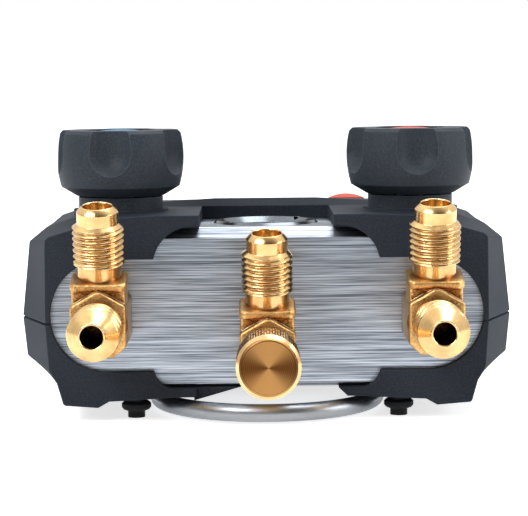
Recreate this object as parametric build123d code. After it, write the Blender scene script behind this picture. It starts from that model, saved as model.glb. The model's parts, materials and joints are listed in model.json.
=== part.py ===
from build123d import *
import os
from math import cos, pi, radians, sin, sqrt, tan

# Two-valve digital refrigerant manifold lying on its back, display side up.
# Millimetres. +X is right, +Z is out of the display side, +Y runs from the hose ports to the top end.
# "b" is the distance behind the block's port-end face, so y = FACE_Y + b. z = 0 is what it lies on.

# ---- housing ----
HALF_WIDTH = 56.2  # at the joint between the shells
NEAR_HALF_WIDTH = 49.4  # there, at the port end
BODY_LENGTH = 191.0  # from the block's face to the top end
FRONT_WALL = 2.5  # wall in front of the block
WALL = 2.4
ROOF = 3.0  # wall under the display and keys
PART_Z = 22.2  # joint between front and rear shell
ARM_TOP = 46.2  # arms of the front shell over the block
WINDOW_MIDDLE = 25.4  # opening of the port end: half-width of its tall part
WINDOW_END = 35.8  # centre of its round ends
WINDOW_LOW = 11.2
WINDOW_HIGH = 36.5
ARM_END_X = 15.0  # where the arms stop beside the sight glass
LIP_TOP = 48.3  # edge of the display face
LIP_B = 29.0
LIP_CHAMFER = 2.0
FACE_SLOPE = 5.0  # degrees, down towards the top end
BACK_Z = 5.5  # underside of the rear shell
BEVEL_B = 14.0  # where the bevelled port end reaches full width
END_TAPER = 0.94
END_RADIUS = 24.0
END_ROUND = 6.0
GROOVE = 0.5  # shadow groove at the joint between the shells
EDGE_ROUND = 0.8
# ---- valve block ----
BLOCK_HALF_WIDTH = 48.8
BLOCK_DEPTH = 34.0
BLOCK_BOTTOM = 7.4
BLOCK_TOP = 43.2
BLOCK_CHAMFER = 2.3
BLOCK_LOWER_CHAMFER = 0.8
BLOCK_END_BEVEL = 8.0
BLOCK_END_LOW_BEVEL = 5.0
PASSAGE_RADIUS = 2.4
PLUG_LENGTH = 6.0  # the plug that closes the drilled gallery
PLUG_RADIUS = 3.5
SENSOR_THREAD = 7.0  # pressure sensors in the block's back
SENSOR_THREAD_RADIUS = 4.0
# ---- ports ----
PORT_X = 36.2
PORT_Z = 23.9
CENTRE_DROP = 6.1  # the middle fitting sits lower
PORT_REACH = 38.0  # flare tip in front of the block
FLARE_RADIUS = 5.555  # 7/16-20 thread
PILOT_RADIUS = 4.5
NECK_RADIUS = 4.75
TIP_RADIUS = 3.35
FLARE_BORE = 2.45
THREAD_LENGTH = 8.1
PILOT_LENGTH = 3.0
TIP_LENGTH = 1.6
FORGING = 12.0  # across the flats of the forged body
PARK_LEAN = 12.0  # degrees towards the hoses
PARK_B = -12.0  # where the parking axis crosses the port axis
PARK_LENGTH = 26.2
PARK_BORE_DEPTH = 13.0
SPIGOT_RADIUS = 4.6
SPIGOT_LENGTH = 8.0
SEAL_WIDTH = 1.0
CAP_RADIUS = 6.75
CAP_LENGTH = 14.0
CAP_REACH = 42.0
THREAD_PITCH = 1.27
# ---- valves ----
VALVE_X = 33.4
VALVE_B = 17.0
KNOB_TOP = 64.8
KNOB_BOTTOM = 49.8
KNOB_RADIUS = 14.6
KNOB_TOP_RADIUS = 14.0
KNOB_LOW_RADIUS = 13.6
KNOB_CORNER_Z = 51.9
KNOB_SCALLOPS = 5
KNOB_TURN = {-1: -5.6, 1: 2.7}  # degrees that each knob stands turned from square
SCALLOP_RADIUS = 6.0
SCALLOP_DEPTH = 3.1
SCALLOP_LOW_Z = 54.4
COLLAR_RADIUS = 9.7
COLLAR_GAP = 0.3
INSERT_RADIUS = 8.0
SEAT_Z = 24.5
BONNET_LOW = 34.0
BONNET_RADIUS = 7.0
BONNET_TOP = 46.5
SPINDLE_RADIUS = 3.0
SPINDLE_THREAD_RADIUS = 1.95
PLUNGER_RADIUS = 3.95
VALVE_LIFT = 2.5
RUNNING = 0.05  # radial clearance of what turns or slides in a hole
# ---- sight glass ----
SIGHT_RADIUS = 12.15
SIGHT_OPENING = 9.0
GLASS_THICKNESS = 2.5
GASKET = 1.0
RING_HEIGHT = 2.6
# ---- display, keys and electronics; w is measured out of the display face ----
WINDOW_WIDTH = 74.0
WINDOW_LENGTH = 66.0
WINDOW_V = 96.0
WINDOW_THICKNESS = 1.6
BEZEL = 6.0
KEY_WIDTH = 13.0
KEY_LENGTH = 9.0
KEY_ROWS = (23.0, 39.0)
KEY_COLUMNS = (-25.5, -9.0, 7.5)
KEY_PROUD = 0.3
KEY_TRAVEL = 0.8
KEY_GAP = 0.25
KEY_FIELD_SINK = 1.0
FLANGE_TOP = -ROOF - 0.5
FLANGE = 0.9
POWER_X = 20.6
POWER_V = 31.0
POWER_RADIUS = 4.6
POWER_PROUD = 1.5
BOARD_W = -8.0
BOARD_THICKNESS = 1.6
# ---- back: hook, battery box, feet ----
WIRE_RADIUS = 2.0
HOOK_HALF_WIDTH = 25.2
HOOK_CROWN_B = 18.0
HOOK_PIVOT_B = 117.0
HOOK_Z = 2.6
HOOK_BEND = 3.2
LUG_OUTER_X = 21.8
LUG_LENGTH = 4.9
LUG_HALF = 4.4
CELL_RADIUS = 7.15
CELL_LENGTH = 50.4
CELL_GAP = 0.2
BOX_B = 50.0
BOX_WALL = 1.6
SPRING_ROOM = 2.2
COVER_THICKNESS = 2.0
COVER_GAP = 0.2
POST_X = 29.8
POST_B = 5.0
POST_RADIUS = 2.3
POST_HEAD_RADIUS = 3.35
POST_BOSS_RADIUS = 1.95
FOOT_X = 42.5
FOOT_B = 168.0
FOOT_RADIUS = 4.0
SCREW_RADIUS = 1.5
SCREW_HEAD_RADIUS = 2.7
BOSS_RADIUS = 3.7
PROBE_X = 15.0
PROBE_BORE = 4.75
PROBE_RADIUS = 5.9

# Overall length runs from the port cap to the top end, and the origin is its middle.
FACE_Y = (CAP_REACH - BODY_LENGTH) / 2
PARTS = "parts"
GALLERY_Z = PORT_Z - CENTRE_DROP
SIGHT_FLOOR = BLOCK_TOP - RING_HEIGHT + 0.6 - GLASS_THICKNESS - GASKET
CELL_X = CELL_RADIUS + CELL_GAP / 2
BOX_HALF = 2 * CELL_RADIUS + CELL_GAP
BOX_LENGTH = 2 * CELL_LENGTH + SPRING_ROOM
CELL_Z = BACK_Z + COVER_THICKNESS + CELL_GAP + CELL_RADIUS
COVER_HALF = BOX_HALF + BOX_WALL
CASE_SCREWS = [(side * x, b) for side in (-1, 1) for x, b in ((44.5, 62.0), (43.5, 132.0), (27.0, 181.0))]
BLOCK_SCREWS = [(side * 40.5, 26.0) for side in (-1, 1)]


def point(x, b, z):
    return Vector(x, FACE_Y + b, z)


def place(x, b, z):
    return Pos(x, FACE_Y + b, z)


def box(x0, x1, b0, b1, z0, z1):
    return Pos((x0 + x1) / 2, FACE_Y + (b0 + b1) / 2, (z0 + z1) / 2) * Box(x1 - x0, b1 - b0, z1 - z0)


def upright(x, b, z0, z1, radius):
    """A cylinder along Z."""
    return place(x, b, (z0 + z1) / 2) * Cylinder(radius, z1 - z0)


def turned(x, b, outline):
    """A revolved piece from (radius, z) corners, on the vertical axis through x, b."""
    face = Plane.XZ * make_face(Polyline(*outline, close=True))
    return place(x, b, 0) * revolve(face, Axis.Z)


def lathe(frame, outline):
    """A revolved piece from (radius, distance) corners, along the frame's own Z."""
    face = Plane.XZ * make_face(Polyline(*outline, close=True))
    return frame * revolve(face, Axis.Z)


def section(b, outline):
    """A closed cross-section at b from (x, z) corners."""
    plane = Plane(origin=point(0, b, 0), x_dir=(1, 0, 0), z_dir=(0, -1, 0))
    return plane * make_face(outline)


def face_frame(u=0, v=0, w=0):
    """A frame on the display face: u across, v up the device from the lip, w out of the face."""
    slope = radians(FACE_SLOPE)
    origin = point(0, LIP_B, LIP_TOP)
    face = Plane(origin=origin, x_dir=(1, 0, 0), z_dir=(0, sin(slope), cos(slope)))
    return face.location * Pos(u, v, w)


def tray(u, v, w0, w1, width, length, corner):
    """A block with rounded corners, square to the display face."""
    outline = face_frame(u, v, w0) * RectangleRounded(width, length, corner)
    return extrude(outline, w1 - w0, dir=face_normal())


def face_normal():
    slope = radians(FACE_SLOPE)
    return (0, sin(slope), cos(slope))


def face_top(b):
    return LIP_TOP - (b - LIP_B) * tan(radians(FACE_SLOPE))


def width_scale(b):
    """The housing narrows slightly from the bevel to the top end."""
    return 1 - (1 - END_TAPER) * max(0, b - BEVEL_B) / (BODY_LENGTH - BEVEL_B)


# ---- housing shells ----
FOOT_RAIL = [(46.6, 3.4), (38.5, 2.8), (36.0, 4.4), (31.0, 4.9), (20.0, BACK_Z)]
NEAR_RAIL = [(45.6, 3.9), (37.9, 3.3), (35.4, 4.7), (31.0, 4.9), (20.0, BACK_Z)]
SHOULDERS = [(42.5, 45.3), (50.3, 42.8), (54.4, 39.5)]
NEAR_SHOULDERS = [(42.3, 43.5), (48.4, 41.7), (49.2, 40.9)]


def mirrored(right):
    return right + [(-x, z) for x, z in reversed(right)]


def outer_outline(b, top, crown, drop):
    """Right and left sides of the housing section; the shoulders come down by their share of drop."""
    share = 1 - drop / (ARM_TOP - PART_Z)
    scale = width_scale(b)
    right = [(12 * scale, top - 0.2 * crown), (24 * scale, top - crown)]
    right += [(33 * scale, top - 0.4 - 1.3 * crown)]
    right += [(x * scale, PART_Z + (z - PART_Z) * share) for x, z in SHOULDERS]
    right += [(HALF_WIDTH * scale, PART_Z), (55.3 * scale, 13.1), (49.3 * scale, 8.0)]
    right += [(x * scale, z) for x, z in FOOT_RAIL]
    radii = [0, 0, 0] + [EDGE_ROUND] * (len(right) - 5) + [0, 0]
    return FilletPolyline(*mirrored(right), radius=radii + radii[::-1], close=True)


def near_outline():
    right = [(12.0, ARM_TOP), (24.0, ARM_TOP), (33.0, ARM_TOP - 0.4)] + NEAR_SHOULDERS
    right += [(NEAR_HALF_WIDTH, PART_Z), (48.7, 11.7), (47.0, 8.8)] + NEAR_RAIL
    radii = [0, 0, 0] + [EDGE_ROUND] * (len(right) - 5) + [0, 0]
    return FilletPolyline(*mirrored(right), radius=radii + radii[::-1], close=True)


def inner_outline(b, top, crown, drop):
    """The hollow inside the shells, one wall in from the outer section."""
    share = 1 - drop / (ARM_TOP - PART_Z)
    scale = width_scale(b)
    floor = BACK_Z + WALL
    roof = top - ROOF
    right = [(12 * scale, roof - 0.2 * crown), (24 * scale, roof - crown)]
    right += [(33 * scale, roof - 0.4 - 1.3 * crown)]
    right += [(x * scale - WALL, PART_Z + (z - PART_Z) * share - WALL) for x, z in SHOULDERS]
    right += [(HALF_WIDTH * scale - WALL, PART_Z), (55.3 * scale - WALL, 13.6)]
    right += [(48.5 * scale - WALL, floor)]
    return Polyline(*mirrored(right), close=True)


def stations():
    """b, top, crown and shoulder drop of each section behind the lip."""
    flat_b = LIP_B + 17
    return [
        (LIP_B + LIP_CHAMFER, LIP_TOP - 0.17, 0.9, 0),
        (flat_b, face_top(flat_b), 0, ARM_TOP - face_top(flat_b)),
        (BODY_LENGTH, face_top(BODY_LENGTH), 0, ARM_TOP - face_top(BODY_LENGTH)),
    ]


def housing_outside():
    shapes = [section(-FRONT_WALL, near_outline())]
    shapes += [section(b, outer_outline(b, ARM_TOP, 0, 0)) for b in (BEVEL_B, LIP_B)]
    shapes += [section(b, outer_outline(b, top, crown, drop)) for b, top, crown, drop in stations()]
    body = loft(shapes, ruled=True)
    return (body & end_profile()) - end_corners(END_RADIUS)


def end_corners(radius):
    """What the round corners of the top end leave out of a square one, in plan."""
    corners = Part()
    for side in (-1, 1):
        x = side * (HALF_WIDTH * END_TAPER - END_RADIUS)
        b = BODY_LENGTH - END_RADIUS
        square = box(*sorted((x, side * (HALF_WIDTH + 5))), b, BODY_LENGTH + 5, -5, 85)
        corners += square - upright(x, b, -6, 86, radius)
    return corners


def end_profile():
    """Side view of the top end, rounded over at the face and at the back."""
    low, clear = FOOT_RAIL[1][1] - 0.3, 0.1
    near_top, far_top = face_top(-5) + clear, face_top(BODY_LENGTH) + clear
    corners = [(-5, low), (BODY_LENGTH, low), (BODY_LENGTH, far_top), (-5, near_top)]
    plane = Plane(origin=point(0, 0, 0), x_dir=(0, 1, 0), z_dir=(1, 0, 0))
    outline = FilletPolyline(*corners, radius=[0, END_ROUND, END_ROUND, 0], close=True)
    return extrude(plane * make_face(outline), HALF_WIDTH + 10, both=True)


def housing_inside():
    shapes = []
    inner = [(LIP_B + WALL, LIP_TOP, 0.9, 0)] + stations()[1:]
    for b, top, crown, drop in inner:
        shapes.append(section(b, inner_outline(b, top, crown, drop)))
    hollow = loft(shapes, ruled=True)
    keep = box(-HALF_WIDTH, HALF_WIDTH, 0, BODY_LENGTH - WALL, 0, 80)
    return (hollow & keep) - end_corners(END_RADIUS - WALL)


def port_window():
    """The opening of the port end: a window in the middle and a round one about each side port."""
    low_z, high_z = BLOCK_BOTTOM, BLOCK_TOP + 0.6
    low_round, high_round = 4.5, 9.2
    half = WINDOW_MIDDLE
    corners = [(half, low_z), (half, high_z), (-half, high_z), (-half, low_z)]
    window = FilletPolyline(*corners, radius=[low_round, high_round, high_round, low_round], close=True)
    shape = make_face(window)
    radius = (WINDOW_HIGH - WINDOW_LOW) / 2
    shape += Pos(0, WINDOW_LOW + radius) * Rectangle(2 * WINDOW_END, 2 * radius)
    for side in (-1, 1):
        shape += Pos(side * WINDOW_END, WINDOW_LOW + radius) * Circle(radius)
    plane = Plane(origin=point(0, 0, 0), x_dir=(1, 0, 0), z_dir=(0, -1, 0))
    return extrude(plane * shape, FRONT_WALL + 2)


def centre_gap():
    """The space between the arms, above and below the block."""
    above = box(-ARM_END_X, ARM_END_X, -9, LIP_B, BLOCK_TOP, LIP_TOP + 5)
    slant = [(-16.0, BLOCK_BOTTOM + 0.2), (15.7, BLOCK_BOTTOM + 0.2), (17.8, 5.6), (17.8, 0), (-16.0, 0)]
    below = extrude(section(-9, Polyline(*slant, close=True)), 9 + BLOCK_DEPTH, dir=(0, 1, 0))
    return above + below


def display_openings():
    field = tray(-1, (KEY_ROWS[0] + KEY_ROWS[1]) / 2, -KEY_FIELD_SINK, 4, 74, 36, 8)
    window = tray(0, WINDOW_V, -WINDOW_THICKNESS, 4, WINDOW_WIDTH + 0.4, WINDOW_LENGTH + 0.4, 5)
    view = tray(0, WINDOW_V, -ROOF - 5, 1, WINDOW_WIDTH - 6, WINDOW_LENGTH - 6, 3)
    holes = field + window + view
    for u in KEY_COLUMNS:
        for v in KEY_ROWS:
            holes += tray(u, v, -ROOF - 4, 1, KEY_WIDTH + 2 * KEY_GAP, KEY_LENGTH + 2 * KEY_GAP, 4.2)
    holes += face_frame(POWER_X, POWER_V, 0) * Cylinder(POWER_RADIUS + KEY_GAP, 3 * ROOF)
    return holes


def probe_holes():
    cut = lathe_along_y(PROBE_X, BODY_LENGTH - 8, 12, PROBE_RADIUS)
    return cut + lathe_along_y(-PROBE_X, BODY_LENGTH - 8, 12, PROBE_RADIUS)


def lathe_along_y(x, b, length, radius, z=PART_Z):
    return Pos(x, FACE_Y + b + length / 2, z) * Rot(-90, 0, 0) * Cylinder(radius, length)


def joint_groove():
    """A narrow slot round the outside where the two shells meet."""
    reach, end = HALF_WIDTH + 9, BODY_LENGTH - GROOVE
    slot = box(-reach, reach, -9, BODY_LENGTH + 9, PART_Z - GROOVE / 2, PART_Z + GROOVE / 2)
    near, wide, far = NEAR_HALF_WIDTH - GROOVE, HALF_WIDTH - GROOVE, HALF_WIDTH * END_TAPER - GROOVE
    right = [(near, GROOVE - FRONT_WALL), (wide, BEVEL_B), (far, end)]
    plan = Polyline(*mirrored(right), close=True)
    core = extrude(place(0, 0, PART_Z - GROOVE) * make_face(plan), 2 * GROOVE)
    return slot - (core - end_corners(END_RADIUS - GROOVE))


def front_shell(outside, inside, groove):
    shell = outside & box(-70, 70, -9, BODY_LENGTH + 9, PART_Z, 90)
    for side in (-1, 1):
        shell += upright(side * VALVE_X, VALVE_B, ARM_TOP - 3, ARM_TOP + 0.5, COLLAR_RADIUS + 1.2)
    bezel = tray(0, WINDOW_V, -ROOF, 0.2, WINDOW_WIDTH + 2 * BEZEL, WINDOW_LENGTH + 2 * BEZEL, 9)
    shell += bezel
    posts = Part() + [upright(x, b, PART_Z, 60, BOSS_RADIUS) & outside for x, b in CASE_SCREWS]
    shell = shell - inside + posts
    shell = shell - block_blank() - port_window() - centre_gap() - groove
    shell = shell - display_openings() - probe_holes()
    for side in (-1, 1):
        shell -= upright(side * VALVE_X, VALVE_B, BLOCK_TOP - 1, 90, COLLAR_RADIUS)
    for x, b in CASE_SCREWS:
        shell -= upright(x, b, PART_Z - 1, PART_Z + 7, SCREW_RADIUS - 0.2)
    return shell


def rear_shell(outside, inside, groove):
    shell = outside & box(-70, 70, -9, BODY_LENGTH + 9, -5, PART_Z)
    b0, b1 = BOX_B - BOX_WALL, BOX_B + BOX_LENGTH + BOX_WALL
    cell_top = CELL_Z + CELL_RADIUS + CELL_GAP
    trunk = box(-COVER_HALF, COVER_HALF, b0, b1, BACK_Z, cell_top + BOX_WALL)
    room = box(-BOX_HALF, BOX_HALF, BOX_B, BOX_B + BOX_LENGTH, BACK_Z - 1, cell_top)
    posts = Part() + [upright(x, b, BACK_Z, PART_Z, BOSS_RADIUS) & outside for x, b in CASE_SCREWS]
    lugs = Part()
    for side in (-1, 1):
        x0, x1 = sorted((side * LUG_OUTER_X, side * (LUG_OUTER_X - LUG_LENGTH)))
        lugs += box(x0, x1, HOOK_PIVOT_B - LUG_HALF, HOOK_PIVOT_B + LUG_HALF, HOOK_Z - 1.4, BACK_Z + 1)
    web = [(-16.5, BLOCK_BOTTOM), (-6.0, BLOCK_BOTTOM), (-16.5, 4.4)]
    gusset = extrude(section(0, Polyline(*web, close=True)), 6, dir=(0, 1, 0))
    shell = shell - inside - centre_gap() + posts + trunk + lugs + gusset
    shell = shell - room - cover_recess() - block_blank() - port_window() - probe_holes() - groove
    shell -= hook_bores()
    for x, b in CASE_SCREWS:
        shell -= upright(x, b, 0, PART_Z + 1, SCREW_RADIUS + 0.2)
        shell -= upright(x, b, 0, 12, SCREW_HEAD_RADIUS + 0.2)
    for x, b in BLOCK_SCREWS:
        shell -= upright(x, b, 0, 9, SCREW_RADIUS + 0.1) + upright(x, b, 0, 6, SCREW_HEAD_RADIUS + 0.2)
    for side in (-1, 1):
        shell -= upright(side * POST_X, POST_B, 0, BLOCK_BOTTOM, POST_RADIUS)
        x = side * FOOT_X * width_scale(FOOT_B)
        shell -= upright(x, FOOT_B, 0, 4.6, FOOT_RADIUS) + upright(x, FOOT_B, 0, 7.0, FOOT_RADIUS / 2)
    return shell


# ---- valve block ----
def block_blank():
    """The extruded block before it is drilled; its ends are bevelled to clear the housing's shoulders."""
    half, high, low = BLOCK_HALF_WIDTH, BLOCK_END_BEVEL, BLOCK_END_LOW_BEVEL
    right = [(half - high, BLOCK_TOP), (half, BLOCK_TOP - high)]
    right += [(half, BLOCK_BOTTOM + low), (half - low, BLOCK_BOTTOM)]
    return extrude(section(0, Polyline(*mirrored(right), close=True)), BLOCK_DEPTH, dir=(0, 1, 0))


def manifold_block():
    body = block_blank()
    front = body.faces().sort_by(Axis.Y)[0].edges()
    body = chamfer(front.sort_by(Axis.Z)[-1:], BLOCK_CHAMFER)
    front = body.faces().sort_by(Axis.Y)[0].edges()
    body = chamfer(front.sort_by(Axis.Z)[:1], BLOCK_LOWER_CHAMFER)
    for side in (-1, 1):
        x = side * VALVE_X
        body -= upright(x, VALVE_B, BONNET_LOW, BLOCK_TOP + 1, BONNET_RADIUS)
        body -= upright(x, VALVE_B, SEAT_Z, BONNET_LOW + 1, PLUNGER_RADIUS + RUNNING)
        body -= upright(x, VALVE_B, GALLERY_Z, SEAT_Z + 1, PASSAGE_RADIUS)
        body -= lathe_along_y(side * PORT_X, -1, VALVE_B + 1, PASSAGE_RADIUS, PORT_Z)
        body -= lathe_along_y(side * PORT_X, -1, SPIGOT_LENGTH + SEAL_WIDTH + 1, SPIGOT_RADIUS, PORT_Z)
        sensor_b = BLOCK_DEPTH - SENSOR_THREAD
        body -= lathe_along_y(x, sensor_b, SENSOR_THREAD + 1, SENSOR_THREAD_RADIUS, GALLERY_Z)
        body -= lathe_along_y(x, VALVE_B, BLOCK_DEPTH - VALVE_B, PASSAGE_RADIUS - 0.9, GALLERY_Z)
    body -= lathe_along_y(0, -1, VALVE_B + 1, PASSAGE_RADIUS, GALLERY_Z)
    body -= lathe_along_y(0, -1, SPIGOT_LENGTH + SEAL_WIDTH + 1, SPIGOT_RADIUS, GALLERY_Z)
    body -= along_x(-VALVE_X, BLOCK_HALF_WIDTH + 1, VALVE_B, GALLERY_Z, PASSAGE_RADIUS)
    body -= along_x(BLOCK_HALF_WIDTH - PLUG_LENGTH, BLOCK_HALF_WIDTH + 1, VALVE_B, GALLERY_Z, PLUG_RADIUS)
    body -= upright(0, VALVE_B, SIGHT_FLOOR, BLOCK_TOP + 1, SIGHT_RADIUS)
    body -= upright(0, VALVE_B, SIGHT_FLOOR - 6, SIGHT_FLOOR + 1, SIGHT_OPENING - 1)
    body -= upright(0, VALVE_B, GALLERY_Z, SIGHT_FLOOR, PASSAGE_RADIUS)
    for x, b in BLOCK_SCREWS:
        body -= upright(x, b, BLOCK_BOTTOM - 1, BLOCK_BOTTOM + 8, SCREW_RADIUS)
    return body


def along_x(x0, x1, b, z, radius):
    return Pos((x0 + x1) / 2, FACE_Y + b, z) * Rot(0, 90, 0) * Cylinder(radius, x1 - x0)


def gallery_plug():
    plug = along_x(BLOCK_HALF_WIDTH - PLUG_LENGTH, BLOCK_HALF_WIDTH - 0.4, VALVE_B, GALLERY_Z, PLUG_RADIUS)
    key = Plane(origin=point(BLOCK_HALF_WIDTH, VALVE_B, GALLERY_Z), x_dir=(0, 1, 0), z_dir=(-1, 0, 0))
    return plug - extrude(key * RegularPolygon(1.5, 6), 3.4)


def sight_gasket():
    outline = [(SIGHT_OPENING, SIGHT_FLOOR), (SIGHT_RADIUS, SIGHT_FLOOR)]
    outline += [(SIGHT_RADIUS, SIGHT_FLOOR + GASKET), (SIGHT_OPENING, SIGHT_FLOOR + GASKET)]
    return turned(0, VALVE_B, outline)


def sight_glass():
    low = SIGHT_FLOOR + GASKET
    return upright(0, VALVE_B, low, low + GLASS_THICKNESS, SIGHT_RADIUS - 0.1)


def sight_glass_ring():
    low = SIGHT_FLOOR + GASKET + GLASS_THICKNESS
    top = low + RING_HEIGHT
    inner, outer = SIGHT_OPENING, SIGHT_RADIUS
    outline = [(inner, low), (outer, low), (outer, top - 0.7), (outer - 0.7, top)]
    outline += [(inner + 1.3, top), (inner, top - 1.3)]
    ring = turned(0, VALVE_B, outline)
    for turn in (45, 225):
        middle = Pos((inner + outer) / 2, 0, 0)
        ring -= place(0, VALVE_B, top) * Rot(0, 0, turn) * middle * Cylinder(0.9, 2.2)
    return ring


def pressure_sensor(side):
    x = side * VALVE_X
    frame = Plane(origin=point(x, BLOCK_DEPTH - SENSOR_THREAD, GALLERY_Z), x_dir=(1, 0, 0), z_dir=(0, 1, 0))
    body = frame * extrude(Circle(SENSOR_THREAD_RADIUS) - Circle(1.2), SENSOR_THREAD)
    nut = Pos(0, 0, SENSOR_THREAD) * extrude(RegularPolygon(8.0, 6), 6)
    can = Pos(0, 0, SENSOR_THREAD + 6) * extrude(Circle(6.8), 8)
    return body + frame * (nut + can)


# ---- fittings ----
def flare_outline(length):
    """Half-section of a flare port whose tip is at distance 0 and whose root is at -length."""
    thread_end = -(TIP_LENGTH + PILOT_LENGTH)
    neck = thread_end - THREAD_LENGTH
    rise = PILOT_RADIUS - TIP_RADIUS
    bevel = FLARE_RADIUS - PILOT_RADIUS
    outline = [(0, -length), (NECK_RADIUS, -length), (NECK_RADIUS, neck), (FLARE_RADIUS, neck)]
    outline += [(FLARE_RADIUS, thread_end), (PILOT_RADIUS, thread_end + 0.6 * bevel)]
    outline += [(PILOT_RADIUS, -rise), (TIP_RADIUS, 0), (0, 0)]
    return outline


def seat_outline(length):
    """Half-section of the open flare port, with its 45 degree seat."""
    thread_end = -(FLARE_RADIUS - FLARE_BORE + 0.2)
    neck = thread_end - THREAD_LENGTH - 1.5
    outline = [(0, -length), (NECK_RADIUS, -length), (NECK_RADIUS, neck), (FLARE_RADIUS, neck)]
    outline += [(FLARE_RADIUS, thread_end), (FLARE_BORE + 0.3, -0.1), (FLARE_BORE, 0.0), (0, 0)]
    return outline


def fitting(x, drop):
    """A forged body with a flare port towards the hoses and a leaning blind port above it."""
    half = FORGING / 2
    z = PORT_Z - drop
    port = Plane(origin=point(x, -PORT_REACH, z), x_dir=(1, 0, 0), z_dir=(0, -1, 0)).location
    lean = radians(PARK_LEAN)
    up = Vector(0, -sin(lean), cos(lean))
    root = point(x, PARK_B, z)
    park = Plane(origin=root + up * PARK_LENGTH, x_dir=(1, 0, 0), z_dir=up).location
    low, pinch, collar = half, half + 2.2, half + 4.6
    foot = Plane(origin=root, x_dir=(1, 0, 0), z_dir=up).location

    def slab(height, front_width):
        corners = [(-front_width / 2, -half), (front_width / 2, -half), (half, half), (-half, half)]
        return foot * Pos(0, 0, height) * make_face(Polyline(*corners, close=True))

    waist = loft([slab(0, FORGING), slab(low - 1.2, FORGING), slab(pinch - 0.4, 1.6)], ruled=True)
    waist += loft([slab(pinch - 0.4, 1.6), slab(pinch + 0.4, 1.6)], ruled=True)
    waist += loft([slab(pinch + 0.4, 1.6), slab(collar - 0.8, FORGING), slab(collar, FORGING)], ruled=True)
    side = 5.0
    ridge = half + 0.6
    bottom = [(-half, side - 1.4), (-half, -half + 1.6), (-half + 2.6, -half - 0.7)]
    bottom += [(half - 2.6, -half - 0.7), (half, -half + 1.6), (half, side - 1.4)]
    bottom += [(2.6, ridge), (-2.6, ridge)]
    across = Plane(origin=point(x, 0, z), x_dir=(1, 0, 0), z_dir=(0, -1, 0))
    trunk = extrude(across * make_face(Polyline(*bottom, close=True)), 19.5)
    body = waist + trunk
    body += port * Pos(0, 0, -17.3) * Cone(NECK_RADIUS + 1.4, NECK_RADIUS, 2.4)
    body += lathe(port, [(0, -PORT_REACH - SPIGOT_LENGTH), (SPIGOT_RADIUS, -PORT_REACH - SPIGOT_LENGTH)]
                  + [(SPIGOT_RADIUS, -20), (0, -20)])
    body += lathe(port, seat_outline(PORT_REACH - 12)) + lathe(park, flare_outline(PARK_LENGTH - 4))
    body -= lathe(port, [(0, 1), (FLARE_BORE, 1), (FLARE_BORE, -60), (0, -60)])
    mouth = TIP_RADIUS - 0.25
    bore = [(0, 1), (mouth + 1, 1), (mouth, 0), (FLARE_BORE, -0.9), (FLARE_BORE, -PARK_BORE_DEPTH)]
    body -= lathe(park, bore + [(0, -PARK_BORE_DEPTH - 1.4)])
    return body


def fitting_seals():
    """The O-rings between the fittings and the block, in the mouths of the block's ports."""
    rings = Part()
    for x, z in ((-PORT_X, PORT_Z), (0, GALLERY_Z), (PORT_X, PORT_Z)):
        frame = Plane(origin=point(x, SPIGOT_LENGTH, z), x_dir=(1, 0, 0), z_dir=(0, -1, 0)).location
        ring = Circle(SPIGOT_RADIUS) - Circle(PASSAGE_RADIUS + 0.4)
        rings += frame * Pos(0, 0, -SEAL_WIDTH) * extrude(ring, SEAL_WIDTH)
    return rings


def cap_frame():
    return Plane(origin=point(0, -CAP_REACH, GALLERY_Z), x_dir=(1, 0, 0), z_dir=(0, -1, 0)).location


def port_cap():
    depth = CAP_LENGTH
    inner = FLARE_RADIUS + RUNNING
    floor = -(CAP_REACH - PORT_REACH) + 0.9
    outline = [(0, 0), (5.8, 0), (CAP_RADIUS, -0.95), (CAP_RADIUS, -depth + 0.6)]
    outline += [(CAP_RADIUS - 0.6, -depth), (inner, -depth), (inner, floor), (0, floor)]
    return lathe(cap_frame(), outline)


def cap_seal():
    """The copper washer in the cap, which the flare tip presses."""
    floor = -(CAP_REACH - PORT_REACH) + 0.9
    outer = FLARE_RADIUS - 0.4
    outline = [(FLARE_BORE, floor), (outer, floor), (outer, floor - 0.8), (FLARE_BORE, floor - 0.8)]
    return lathe(cap_frame(), outline)


# ---- valves ----
def valve_bonnet(side):
    x = side * VALVE_X
    neck, bore = SPINDLE_RADIUS + RUNNING, PLUNGER_RADIUS + RUNNING
    step = BONNET_LOW + VALVE_LIFT + 0.5
    outline = [(neck, step), (bore, step), (bore, BONNET_LOW), (BONNET_RADIUS, BONNET_LOW)]
    outline += [(BONNET_RADIUS, BONNET_TOP), (neck, BONNET_TOP)]
    return turned(x, VALVE_B, outline)


def spindle(side):
    x = side * VALVE_X
    step = BONNET_LOW + VALVE_LIFT + 1.0
    outline = [(0, SEAT_Z + 4), (SPINDLE_THREAD_RADIUS, SEAT_Z + 4), (SPINDLE_THREAD_RADIUS, step)]
    outline += [(SPINDLE_RADIUS, step), (SPINDLE_RADIUS, KNOB_TOP - 4), (1.2, KNOB_TOP - 4)]
    outline += [(1.2, KNOB_TOP - 12), (0, KNOB_TOP - 12)]
    return turned(x, VALVE_B, outline)


def plunger(side):
    x = side * VALVE_X
    hole = SPINDLE_THREAD_RADIUS + RUNNING
    groove = PLUNGER_RADIUS - 0.9
    outline = [(0, SEAT_Z), (PLUNGER_RADIUS - 1.2, SEAT_Z), (PLUNGER_RADIUS, SEAT_Z + 1.2)]
    outline += [(PLUNGER_RADIUS, SEAT_Z + 4.5), (groove, SEAT_Z + 4.5)]
    outline += [(groove, SEAT_Z + 6.1), (PLUNGER_RADIUS, SEAT_Z + 6.1)]
    outline += [(PLUNGER_RADIUS, BONNET_LOW), (hole, BONNET_LOW), (hole, SEAT_Z + 1.5), (0, SEAT_Z + 1.5)]
    return turned(x, VALVE_B, outline)


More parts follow.
